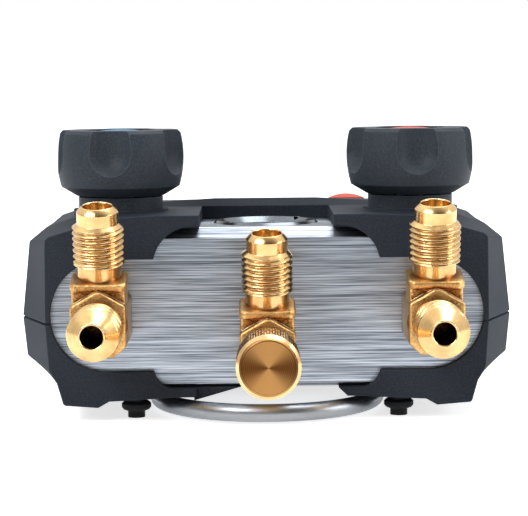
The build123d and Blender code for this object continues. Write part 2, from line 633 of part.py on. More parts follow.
def plunger_seal(side):
    groove = PLUNGER_RADIUS - 0.9
    low, high = SEAT_Z + 4.6, SEAT_Z + 6.0
    outer = PLUNGER_RADIUS + RUNNING / 2
    outline = [(groove, low), (outer - 0.3, low), (outer, low + 0.3)]
    outline += [(outer, high - 0.3), (outer - 0.3, high), (groove, high)]
    return turned(side * VALVE_X, VALVE_B, outline)


def valve_collar(side):
    inner = BONNET_RADIUS + 0.4
    top = KNOB_BOTTOM - COLLAR_GAP
    outline = [(inner, BLOCK_TOP), (COLLAR_RADIUS, BLOCK_TOP), (COLLAR_RADIUS, top), (inner, top)]
    return turned(side * VALVE_X, VALVE_B, outline)


def knob(side):
    """A barrel-shaped knob with U-shaped finger scallops that die out above its lower corner."""
    x = side * VALVE_X
    bottom_radius = COLLAR_RADIUS + 0.4
    corner = (KNOB_LOW_RADIUS, KNOB_CORNER_Z)
    middle = (KNOB_RADIUS, (KNOB_CORNER_Z + KNOB_TOP) / 2 + 1.2)
    rim = (KNOB_TOP_RADIUS, KNOB_TOP - 0.7)
    low = Polyline((0, KNOB_TOP), (0, KNOB_BOTTOM), (bottom_radius, KNOB_BOTTOM), corner)
    side_line = low + ThreePointArc(corner, middle, rim)
    side_line += Polyline(rim, (KNOB_TOP_RADIUS - 0.7, KNOB_TOP), (0, KNOB_TOP))
    body = place(x, VALVE_B, 0) * revolve(Plane.XZ * make_face(side_line), Axis.Z)
    reach = sqrt(SCALLOP_RADIUS**2 - (SCALLOP_RADIUS - SCALLOP_DEPTH)**2)
    ball_z = SCALLOP_LOW_Z + reach
    offset = KNOB_RADIUS - SCALLOP_DEPTH + SCALLOP_RADIUS
    first = -90 + KNOB_TURN[side]
    for index in range(KNOB_SCALLOPS):
        angle = radians(first + index * 360 / KNOB_SCALLOPS)
        cx, cb = x + offset * cos(angle), VALVE_B + offset * sin(angle)
        scallop = upright(cx, cb, ball_z, KNOB_TOP + 2, SCALLOP_RADIUS)
        scallop += place(cx, cb, ball_z) * Sphere(SCALLOP_RADIUS)
        body -= scallop
    body -= upright(x, VALVE_B, KNOB_BOTTOM - 1, KNOB_TOP - 4, SPINDLE_RADIUS)
    body -= upright(x, VALVE_B, KNOB_BOTTOM - 1, KNOB_TOP + 1, 1.4)
    body -= upright(x, VALVE_B, KNOB_TOP - 2.2, KNOB_TOP + 1, INSERT_RADIUS)
    ring = [(SPINDLE_RADIUS + 2, KNOB_BOTTOM - 1), (COLLAR_RADIUS - 1, KNOB_BOTTOM - 1)]
    ring += [(COLLAR_RADIUS - 1, KNOB_TOP - 5), (SPINDLE_RADIUS + 2, KNOB_TOP - 5)]
    return body - turned(x, VALVE_B, ring)


def knob_insert(side):
    """The coloured disc in the knob's top, slightly domed."""
    x = side * VALVE_X
    low, edge, crown = KNOB_TOP - 0.8, KNOB_TOP - 0.1, KNOB_TOP + 0.5
    line = Polyline((0, crown), (0, low), (INSERT_RADIUS, low), (INSERT_RADIUS, edge))
    line += dome(INSERT_RADIUS, edge, crown)
    return place(x, VALVE_B, 0) * revolve(Plane.XZ * make_face(line), Axis.Z)


def knob_screw(side):
    outline = [(0, KNOB_TOP - 11.5), (1.2, KNOB_TOP - 11.5), (1.2, KNOB_TOP - 2.2), (2.6, KNOB_TOP - 2.2)]
    outline += [(2.6, KNOB_TOP - 0.9), (1.0, KNOB_TOP - 0.9), (1.0, KNOB_TOP - 1.7), (0, KNOB_TOP - 1.7)]
    return turned(side * VALVE_X, VALVE_B, outline)


# ---- display, keys and electronics ----
def display_window():
    return tray(0, WINDOW_V, -WINDOW_THICKNESS, 0, WINDOW_WIDTH, WINDOW_LENGTH, 5)


def display_module():
    return tray(0, WINDOW_V, BOARD_W + BOARD_THICKNESS, -ROOF - 1.0, WINDOW_WIDTH - 4, WINDOW_LENGTH - 2, 1)


def circuit_board():
    return tray(0, 72, BOARD_W, BOARD_W + BOARD_THICKNESS, 76, 122, 3)


def keypad_mat():
    base = BOARD_W + BOARD_THICKNESS
    field_v = (KEY_ROWS[0] + KEY_ROWS[1]) / 2
    return tray(0, field_v, base, base + 1.0, 72, 30, 3)


def key(u, v):
    top = KEY_PROUD - KEY_FIELD_SINK + 0.6
    cap = tray(u, v, FLANGE_TOP, top, KEY_WIDTH, KEY_LENGTH, 4.2)
    return cap + tray(u, v, FLANGE_TOP - FLANGE, FLANGE_TOP, KEY_WIDTH + 1.6, KEY_LENGTH + 1.6, 4.8)


def dome(radius, edge, crown):
    """A spherical cap's half-outline from its edge up to the axis."""
    height = crown - edge
    sphere = (radius**2 + height**2) / (2 * height)
    middle = crown - sphere + sqrt(sphere**2 - radius**2 / 4)
    return ThreePointArc((radius, edge), (radius / 2, middle), (0, crown))


def power_button():
    flange_radius = POWER_RADIUS + 0.8
    corners = [(0, POWER_PROUD), (0, FLANGE_TOP - FLANGE), (flange_radius, FLANGE_TOP - FLANGE)]
    corners += [(flange_radius, FLANGE_TOP), (POWER_RADIUS, FLANGE_TOP), (POWER_RADIUS, 0.4)]
    line = Polyline(*corners) + dome(POWER_RADIUS, 0.4, POWER_PROUD)
    return face_frame(POWER_X, POWER_V, 0) * revolve(Plane.XZ * make_face(line), Axis.Z)


# ---- power ----
def cells():
    group = Part()
    for side in (-1, 1):
        for row in (0, 1):
            start = BOX_B + SPRING_ROOM / 2 + row * CELL_LENGTH
            group += lathe_along_y(side * CELL_X, start, CELL_LENGTH - 1.2, CELL_RADIUS, CELL_Z)
            group += lathe_along_y(side * CELL_X, start + CELL_LENGTH - 1.2, 1.0, 2.6, CELL_Z)
    return group


def battery_contacts():
    group = Part()
    for side in (-1, 1):
        x0, x1 = sorted((side * 2.0, side * (BOX_HALF - 2.0)))
        group += box(x0, x1, BOX_B, BOX_B + 0.4, CELL_Z - 5, CELL_Z + 5)
        end = BOX_B + BOX_LENGTH
        group += box(x0, x1, end - 0.4, end, CELL_Z - 5, CELL_Z + 5)
    return group


def cover_recess():
    b0, b1 = BOX_B - BOX_WALL, BOX_B + BOX_LENGTH + BOX_WALL
    half = COVER_HALF - 0.8
    return box(-half, half, b0 + 0.8, b1 - 0.8, BACK_Z - 3, BACK_Z + COVER_THICKNESS)


def battery_cover():
    """A flat cover with a finger grip, flush with the back."""
    b0, b1 = BOX_B - BOX_WALL + 0.8 + COVER_GAP, BOX_B + BOX_LENGTH + BOX_WALL - 0.8 - COVER_GAP
    half = COVER_HALF - 0.8 - COVER_GAP
    cover = box(-half, half, b0, b1, BACK_Z, BACK_Z + COVER_THICKNESS - COVER_GAP)
    for index in range(4):
        b = b1 - 6 - 2.4 * index
        cover -= box(-7, 7, b, b + 1.1, BACK_Z - 1, BACK_Z + 0.6)
    return cover


# ---- hook, feet, sockets and screws ----
def hook():
    """A U of round wire whose ends turn in to the lugs on the back."""
    arc, bend = HOOK_HALF_WIDTH, HOOK_BEND
    end_x = LUG_OUTER_X - LUG_LENGTH + 0.5
    run = HOOK_PIVOT_B - HOOK_BEND - HOOK_CROWN_B
    crown = revolve(Plane.XZ * Pos(arc, 0) * Circle(WIRE_RADIUS), Axis.Z, 180)
    wire = place(0, HOOK_CROWN_B, HOOK_Z) * Rot(0, 0, 180) * crown
    corner = revolve(Plane.XZ * Pos(bend, 0) * Circle(WIRE_RADIUS), Axis.Z, 90)
    for side, turn in ((1, 0), (-1, 90)):
        wire += lathe_along_y(side * arc, HOOK_CROWN_B, run, WIRE_RADIUS, HOOK_Z)
        wire += place(side * (arc - bend), HOOK_PIVOT_B - bend, HOOK_Z) * Rot(0, 0, turn) * corner
        wire += along_x(*sorted((side * end_x, side * (arc - bend))), HOOK_PIVOT_B, HOOK_Z, WIRE_RADIUS)
    return wire


def hook_bores():
    outer, inner = LUG_OUTER_X + 1, LUG_OUTER_X - LUG_LENGTH - 0.1
    radius = WIRE_RADIUS + RUNNING
    bores = along_x(inner, outer, HOOK_PIVOT_B, HOOK_Z, radius)
    return bores + along_x(-outer, -inner, HOOK_PIVOT_B, HOOK_Z, radius)


def hook_post(side):
    head = POST_HEAD_RADIUS
    outline = [(0, 0), (POST_BOSS_RADIUS, 0), (POST_BOSS_RADIUS, 1.4), (head - 0.4, 1.8)]
    outline += [(head, 2.3), (head, 3.1), (head - 0.5, 3.6), (POST_RADIUS, 3.6)]
    outline += [(POST_RADIUS, BLOCK_BOTTOM), (0, BLOCK_BOTTOM)]
    return turned(side * POST_X, POST_B, outline)


def rear_feet():
    group = Part()
    for side in (-1, 1):
        outline = [(0, 0), (FOOT_RADIUS - 0.5, 0), (FOOT_RADIUS, 0.5), (FOOT_RADIUS, 4.6)]
        outline += [(FOOT_RADIUS / 2, 4.6), (FOOT_RADIUS / 2, 7.0), (0, 7.0)]
        group += turned(side * FOOT_X * width_scale(FOOT_B), FOOT_B, outline)
    return group


def probe_socket(side):
    """A round probe socket held in the joint of the two shells at the top end."""
    end = point(side * PROBE_X, BODY_LENGTH, PART_Z)
    frame = Plane(origin=end, x_dir=(1, 0, 0), z_dir=(0, 1, 0)).location
    flange = PROBE_RADIUS + 1.4
    outline = [(0, -11), (flange, -11), (flange, -WALL), (PROBE_RADIUS, -WALL)]
    outline += [(PROBE_RADIUS, -0.2), (PROBE_BORE, -0.2), (PROBE_BORE, -8), (0, -8)]
    return lathe(frame, outline)


def pan_screw(x, b, head_low, top):
    shank, head_top = SCREW_RADIUS - 0.2, head_low + 1.6
    outline = [(0, head_low + 0.8), (0.9, head_low + 0.8), (0.9, head_low), (SCREW_HEAD_RADIUS, head_low)]
    outline += [(SCREW_HEAD_RADIUS, head_top), (shank, head_top), (shank, top), (0, top)]
    return turned(x, b, outline)


def case_screws():
    return Part() + [pan_screw(x, b, 10.4, PART_Z + 6.5) for x, b in CASE_SCREWS]


def block_screws():
    return Part() + [pan_screw(x, b, 4.4, BLOCK_BOTTOM + 7) for x, b in BLOCK_SCREWS]


def build():
    outside = housing_outside()
    inside = housing_inside()
    groove = joint_groove()
    parts = {
        "front_shell": front_shell(outside, inside, groove),
        "rear_shell": rear_shell(outside, inside, groove),
        "manifold_block": manifold_block(),
        "gallery_plug": gallery_plug(),
        "sight_glass_gasket": sight_gasket(),
        "sight_glass": sight_glass(),
        "sight_glass_ring": sight_glass_ring(),
        "fitting_left": fitting(-PORT_X, 0),
        "fitting_centre": fitting(0, CENTRE_DROP),
        "fitting_right": fitting(PORT_X, 0),
        "fitting_seals": fitting_seals(),
        "port_cap": port_cap(),
        "cap_seal": cap_seal(),
        "display_window": display_window(),
        "display_module": display_module(),
        "circuit_board": circuit_board(),
        "keypad_mat": keypad_mat(),
        "power_button": power_button(),
        "batteries": cells(),
        "battery_contacts": battery_contacts(),
        "battery_cover": battery_cover(),
        "hook": hook(),
        "rear_feet": rear_feet(),
        "case_screws": case_screws(),
        "block_screws": block_screws(),
    }
    for name, side in (("left", -1), ("right", 1)):
        parts["valve_bonnet_" + name] = valve_bonnet(side)
        parts["valve_spindle_" + name] = spindle(side)
        parts["valve_plunger_" + name] = plunger(side)
        parts["plunger_seal_" + name] = plunger_seal(side)
        parts["valve_collar_" + name] = valve_collar(side)
        parts["knob_" + name] = knob(side)
        parts["knob_insert_" + name] = knob_insert(side)
        parts["knob_screw_" + name] = knob_screw(side)
        parts["pressure_sensor_" + name] = pressure_sensor(side)
        parts["hook_post_" + name] = hook_post(side)
        parts["probe_socket_" + name] = probe_socket(side)
    for row, v in enumerate(KEY_ROWS):
        for column, u in enumerate(KEY_COLUMNS):
            parts[f"key_{('lower', 'upper')[row]}_{('left', 'middle', 'right')[column]}"] = key(u, v)
    return parts


os.makedirs(PARTS, exist_ok=True)
for name, shape in build().items():
    export_step(shape, f"{PARTS}/{name}.step")
    print(name, round(shape.volume, 1), len(shape.solids()))
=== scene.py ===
import json
import math

import bmesh
import bpy
from mathutils import Matrix, Vector


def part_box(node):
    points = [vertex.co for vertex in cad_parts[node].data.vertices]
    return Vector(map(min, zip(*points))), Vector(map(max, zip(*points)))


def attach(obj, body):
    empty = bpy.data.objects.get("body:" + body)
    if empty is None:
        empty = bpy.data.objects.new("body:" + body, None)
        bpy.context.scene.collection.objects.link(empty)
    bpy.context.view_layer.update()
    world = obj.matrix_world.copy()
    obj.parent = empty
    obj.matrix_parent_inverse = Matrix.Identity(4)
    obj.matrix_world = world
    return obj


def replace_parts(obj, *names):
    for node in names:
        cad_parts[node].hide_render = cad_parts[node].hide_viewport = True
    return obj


# Looks of a two-valve digital refrigerant manifold that lies on its back, display side up.
# The frame is in metres: +X right, +Y from the hose ports to the top end, +Z out of the display side.
# Named lengths and outlines are in millimetres, and MM turns them to metres. The places that are read
# from the frame or stand in it are in metres: BLOCK_FACE, CAP_FACE, PORT_X, PORT_Z, CENTRE_Z and
# FACE_ORIGIN.
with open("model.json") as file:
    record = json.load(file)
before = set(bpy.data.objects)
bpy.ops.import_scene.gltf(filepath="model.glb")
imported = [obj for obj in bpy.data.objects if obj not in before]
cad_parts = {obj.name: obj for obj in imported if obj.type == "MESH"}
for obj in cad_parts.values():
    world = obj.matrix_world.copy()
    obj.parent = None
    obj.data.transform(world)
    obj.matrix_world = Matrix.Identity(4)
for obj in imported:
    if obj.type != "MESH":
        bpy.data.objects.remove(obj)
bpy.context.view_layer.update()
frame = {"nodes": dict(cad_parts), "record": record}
nodes = frame["nodes"]
MM = 0.001

# ---- hose fittings ----
PITCH = 1.27  # of a 7/16-20 thread
CREST = 5.555  # radii of that thread
ROOT = 4.98
THREAD_LENGTH = 8.1
NECK = 4.75  # radius below the thread
PILOT = 4.5  # radius above it
BORE = 2.45
PARK_LENGTH = 26.2  # the leaning port that a hose is parked on, from the port axis
PARK_LEAN = math.radians(12)
PARK_AHEAD = 12.0  # where it leaves the port axis, in front of the block
PILOT_LENGTH = 4.6
PORT_LENGTH = 38.0  # flare tip in front of the block
SEAT_LENGTH = 3.3
FORGING_REACH = 21.2  # front of the roofed branch, before the block
FORGING_EDGE = 0.62  # rounding
TOOL_MARKS = 12  # on the flare seat
TURNED_SIDES = 80  # facets round a port
BLOCK_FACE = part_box("manifold_block")[0].y
PORT_X = (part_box("fitting_right")[0].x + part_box("fitting_right")[1].x) / 2
PORT_Z = 23.9 * MM  # axes of the outer hose ports
CENTRE_Z = PORT_Z - 6.1 * MM  # the middle one is lower
# ---- port cap ----
CAP_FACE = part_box("port_cap")[0].y
CAP_RADIUS = 6.75
CAP_LENGTH = 14.0
KNURL_ROWS = 34
KNURL_LEAD = 1.25
KNURL_DEPTH = 0.26
# ---- display side ----
FACE_TILT = math.radians(5)
FACE_ORIGIN = Vector((0, BLOCK_FACE + 29 * MM, 48.3 * MM))  # on the face's lower lip
WINDOW_V = 96.0  # middle of the window, up the display face
FIGURES_W = -3.98  # depth of the display's figures under the face
PRINT_W = -1.5  # depth of the window's printed back
MARK_W = -0.12  # the marks on the keys
DIAL_U = 17.0
KEY_ROWS = (("lower", 23.0), ("upper", 39.0))
KEY_COLUMNS = (("left", -25.5), ("middle", -9.0), ("right", 7.5))
# ---- knobs and sockets ----
INSERT_RADIUS = 7.95
CROWN_RADIUS = 6.4
SOCKET_DEPTH = 7.8
PIN_CIRCLE = 2.6
PINS = 6


# ---- material tools ----
def linear(code):
    """A linear RGBA colour from an sRGB hex value."""
    parts = [int(code[i:i + 2], 16) / 255 for i in (1, 3, 5)]
    return [c / 12.92 if c <= 0.04045 else ((c + 0.055) / 1.055) ** 2.4 for c in parts] + [1.0]


def add(tree, kind, inputs=None, **settings):
    """Adds a node with its settings, its constant inputs and its links. Some sockets have only a number:
    MapRange turns the range 1 to 2 into 3 to 4, and Mix goes from number 2 to 3 or colour 6 to 7."""
    made = tree.nodes.new("ShaderNode" + kind)
    for name, value in settings.items():
        setattr(made, name, value)
    for name, value in (inputs or {}).items():
        if isinstance(value, bpy.types.NodeSocket):
            tree.links.new(value, made.inputs[name])
        else:
            made.inputs[name].default_value = value
    return made


def new_material(name):
    """An empty material, its node tree, and its coordinates in metres on the piece."""
    material = bpy.data.materials.new(name)
    material.use_nodes = True
    tree = material.node_tree
    tree.nodes.clear()
    return material, tree, add(tree, "TexCoord").outputs["Object"]


def close(tree, inputs):
    """Ends a material with its shader."""
    shader = add(tree, "BsdfPrincipled", inputs)
    add(tree, "OutputMaterial", {"Surface": shader.outputs[0]})


def per(size_mm):
    """The texture scale at which one feature is size_mm long, for coordinates in metres."""
    return 1000 / size_mm


def rounded_edge_mask(tree, radius_mm):
    """A rounded-edge normal, and a mask that is 1 on the edges."""
    bevel = add(tree, "Bevel", {"Radius": radius_mm * MM}, samples=6)
    flat = add(tree, "NewGeometry")
    facing = add(tree, "VectorMath", {0: bevel.outputs[0], 1: flat.outputs["Normal"]},
                 operation="DOT_PRODUCT")
    edge = add(tree, "MapRange", {"Value": facing.outputs["Value"], 1: 0.995, 2: 0.88, 3: 0.0, 4: 1.0})
    return bevel.outputs[0], edge.outputs[0]


# ---- materials ----
def moulded_plastic(name, base, worn, grain_mm, depth_mm, roughness, edge_mm=0.3, wear_and_sheen=0.5, shine=0.5):
    """An injection moulding from a spark-eroded tool: matte, with a grain that breaks up the highlights
    and is drawn two or three times as wide as a real one, so that it shows, and corners painted a little
    paler: wear from handling, and on the knobs, where it is strongest, partly a painted highlight."""
    material, tree, place = new_material(name)
    grain = add(tree, "TexNoise", {"Vector": place, "Scale": per(grain_mm), "Detail": 3.0, "Roughness": 0.6})
    cloud = add(tree, "TexNoise", {"Vector": place, "Scale": per(24), "Detail": 2.0})
    rounded, edge = rounded_edge_mask(tree, edge_mm)
    bump = add(tree, "Bump", {"Height": grain.outputs["Fac"], "Strength": 0.5, "Distance": depth_mm * MM,
                              "Normal": rounded})
    drift = add(tree, "MapRange", {"Value": cloud.outputs["Fac"], 1: 0.3, 2: 0.7, 3: 0.0, 4: 0.12})
    # paler edges: wear from handling, and on the knobs partly a painted highlight on the rims
    rub_and_sheen = add(tree, "MapRange", {"Value": edge, 1: 0.0, 2: 1.0, 3: 0.0, 4: wear_and_sheen})
    speck = add(tree, "MapRange", {"Value": grain.outputs["Fac"], 1: 0.35, 2: 0.65, 3: -0.12, 4: 0.18})
    paler = add(tree, "Math", {0: drift.outputs[0], 1: rub_and_sheen.outputs[0]}, operation="ADD")
    paler = add(tree, "Math", {0: paler.outputs[0], 1: speck.outputs[0]}, operation="ADD", use_clamp=True)
    colour = add(tree, "Mix", {0: paler.outputs[0], 6: linear(base), 7: linear(worn)}, data_type="RGBA")
    sheen = add(tree, "MapRange", {"Value": grain.outputs["Fac"], 1: 0.25, 2: 0.75, 3: roughness - 0.06,
                                   4: roughness + 0.08})
    close(tree, {"Base Color": colour.outputs[2], "Roughness": sheen.outputs[0], "Normal": bump.outputs[0],
                 "IOR": 1.53, "Specular IOR Level": shine})
    return material


def brushed_aluminium():
    """An aluminium extrusion, fly-cut and brushed along its length, then clear anodised: fine scratches
    of unequal brightness, which stretch the highlights upright. Real ones are about 0.02 mm wide, and
    these are drawn 0.15 and 0.08 mm wide so that they show."""
    material, tree, place = new_material("brushed_anodised_aluminium")
    scratches = []
    for length_mm, width_mm, detail in ((30, 0.15, 3.0), (11, 0.08, 2.0)):
        stretch = add(tree, "Mapping", {"Vector": place,
                                        "Scale": (per(length_mm), per(width_mm), per(width_mm))})
        scratches.append(add(tree, "TexNoise", {"Vector": stretch.outputs[0], "Scale": 1.0, "Detail": detail,
                                                "Roughness": 0.62}).outputs["Fac"])
    mixed = add(tree, "Mix", {0: 0.4, 2: scratches[0], 3: scratches[1]}, data_type="FLOAT")
    tone = add(tree, "MapRange", {"Value": mixed.outputs[0], 1: 0.41, 2: 0.59, 3: 0.0, 4: 1.0})
    colour = add(tree, "Mix", {0: tone.outputs[0], 6: linear("#4d5560"), 7: linear("#bcc4ce")},
                 data_type="RGBA")
    rough = add(tree, "MapRange", {"Value": mixed.outputs[0], 1: 0.35, 2: 0.65, 3: 0.46, 4: 0.28})
    rounded, edge = rounded_edge_mask(tree, 0.3)
    bright = add(tree, "Mix", {0: edge, 6: colour.outputs[2], 7: linear("#d9dce2")}, data_type="RGBA")
    bump = add(tree, "Bump", {"Height": mixed.outputs[0], "Strength": 0.35, "Distance": 0.05 * MM,
                              "Normal": rounded})
    close(tree, {"Base Color": bright.outputs[2], "Metallic": 1.0, "Roughness": rough.outputs[0],
                 "Normal": bump.outputs[0], "Anisotropic": 0.55})
    return material


def brass(name, base, dark, roughness, grain_mm, depth_mm, patches, hollow_tarnish_and_shade=0.8, specks=0.05):
    """Brass whose surface comes from its making: a sandy grain where it is forged, and smooth where it
    is turned. Hollow places, found by ambient occlusion, are painted darker and redder: partly tarnished
    brass, partly painted shade. Rubbed edges are bright."""
    material, tree, place = new_material(name)
    grain = add(tree, "TexNoise", {"Vector": place, "Scale": per(grain_mm), "Detail": 4.0,
                                   "Roughness": 0.65})
    stain = add(tree, "TexNoise", {"Vector": place, "Scale": per(5), "Detail": 3.0})
    rounded, edge = rounded_edge_mask(tree, 0.18)
    patch = add(tree, "MapRange", {"Value": stain.outputs["Fac"], 1: 0.42, 2: 0.72, 3: 0.0, 4: patches})
    # painted shade with the tarnish: hollow places, found by ambient occlusion, are painted darker and
    # redder
    hollow = add(tree, "AmbientOcclusion", {"Distance": 3.0 * MM, "Normal": rounded}, samples=8)
    tarnish_and_shade_in_hollows = add(tree, "MapRange", {"Value": hollow.outputs["AO"], 1: 0.45, 2: 0.95, 3: hollow_tarnish_and_shade, 4: 0.0})
    sand = add(tree, "MapRange", {"Value": grain.outputs["Fac"], 1: 0.35, 2: 0.65, 3: -specks, 4: specks})
    tarnish_and_hollow_shade = add(tree, "Math", {0: patch.outputs[0], 1: tarnish_and_shade_in_hollows.outputs[0]}, operation="ADD")
    tarnish_and_hollow_shade = add(tree, "Math", {0: tarnish_and_hollow_shade.outputs[0], 1: sand.outputs[0]}, operation="ADD", use_clamp=True)
    colour = add(tree, "Mix", {0: tarnish_and_hollow_shade.outputs[0], 6: linear(base), 7: linear(dark)}, data_type="RGBA")
    bright = add(tree, "Mix", {0: edge, 6: colour.outputs[2], 7: linear("#f6dfae")}, data_type="RGBA")
    bump = add(tree, "Bump", {"Height": grain.outputs["Fac"], "Strength": 0.6, "Distance": depth_mm * MM,
                              "Normal": rounded})
    rough = add(tree, "MapRange", {"Value": grain.outputs["Fac"], 1: 0.3, 2: 0.7, 3: roughness - 0.04,
                                   4: roughness + 0.08})
    close(tree, {"Base Color": bright.outputs[2], "Metallic": 1.0, "Roughness": rough.outputs[0],
                 "Normal": bump.outputs[0]})
    return material


def faced_brass(centre):
    """The faced end of the brass cap: concentric tool marks, drawn 0.4 mm apart so that they show, and a
    radial sheen that turns the highlight into fans about the centre. The colour is painted with fans too:
    bright above and below the centre and dark at its sides, a painted highlight."""
    material, tree, place = new_material("faced_brass_cap")
    shifted = add(tree, "VectorMath", {0: place, 1: centre}, operation="SUBTRACT")
    split = add(tree, "SeparateXYZ", {0: shifted.outputs[0]})
    level = add(tree, "CombineXYZ", {0: split.outputs[0], 2: split.outputs[2]})
    radius = add(tree, "VectorMath", {0: level.outputs[0]}, operation="LENGTH")
    turns = add(tree, "Math", {0: radius.outputs["Value"], 1: 2 * math.pi * per(0.4)}, operation="MULTIPLY")
    groove = add(tree, "Math", {0: turns.outputs[0]}, operation="SINE")
    bump = add(tree, "Bump", {"Height": groove.outputs[0], "Strength": 0.1, "Distance": 0.02 * MM})
    # painted highlight: the colour is brighter in fans above and below the centre and darker at its sides
    fan = add(tree, "Math", {0: split.outputs[2], 1: radius.outputs["Value"]}, operation="DIVIDE")
    upright = add(tree, "Math", {0: fan.outputs[0], 1: 2.0}, operation="POWER")
    ring = add(tree, "Math", {0: groove.outputs[0], 1: 0.06}, operation="MULTIPLY")
    tone = add(tree, "MapRange", {"Value": upright.outputs[0], 1: 0.0, 2: 0.7, 3: 0.0, 4: 0.8})
    painted_fans_and_rings = add(tree, "Math", {0: tone.outputs[0], 1: ring.outputs[0]}, operation="ADD", use_clamp=True)
    colour = add(tree, "Mix", {0: painted_fans_and_rings.outputs[0], 6: linear("#5f3a1b"), 7: linear("#b88851")},
                 data_type="RGBA")
    tangent = add(tree, "Tangent", direction_type="RADIAL", axis="Y")
    close(tree, {"Base Color": colour.outputs[2], "Metallic": 1.0, "Roughness": 0.34, "Anisotropic": 0.7,
                 "Tangent": tangent.outputs[0], "Normal": bump.outputs[0]})
    return material


def metal(name, base, pale, roughness, streak_mm, length_mm, axis):
    """A bright metal with drawn or turned marks along one axis (0, 1 or 2)."""
    material, tree, place = new_material(name)
    scale = [per(streak_mm)] * 3
    scale[axis] = per(length_mm)
    stretch = add(tree, "Mapping", {"Vector": place, "Scale": scale})
    marks = add(tree, "TexNoise", {"Vector": stretch.outputs[0], "Scale": 1.0, "Detail": 3.0})
    colour = add(tree, "Mix", {0: marks.outputs["Fac"], 6: linear(base), 7: linear(pale)}, data_type="RGBA")
    rough = add(tree, "MapRange", {"Value": marks.outputs["Fac"], 1: 0.3, 2: 0.7, 3: roughness - 0.04,
                                   4: roughness + 0.06})
    rounded = rounded_edge_mask(tree, 0.15)[0]
    bump = add(tree, "Bump", {"Height": marks.outputs["Fac"], "Strength": 0.2, "Distance": 0.02 * MM,
                              "Normal": rounded})
    close(tree, {"Base Color": colour.outputs[2], "Metallic": 1.0, "Roughness": rough.outputs[0],
                 "Normal": bump.outputs[0]})
    return material


def clear(name, tint, roughness, ior):
    """A polished clear window or lens with the faintest wipe marks."""
    material, tree, place = new_material(name)
    wipe = add(tree, "TexNoise", {"Vector": place, "Scale": per(12), "Detail": 5.0})
    rough = add(tree, "MapRange", {"Value": wipe.outputs["Fac"], 1: 0.4, 2: 0.75, 3: roughness,
                                   4: roughness + 0.05})
    close(tree, {"Base Color": linear(tint), "Roughness": rough.outputs[0], "IOR": ior,
                 "Transmission Weight": 1.0})
    return material


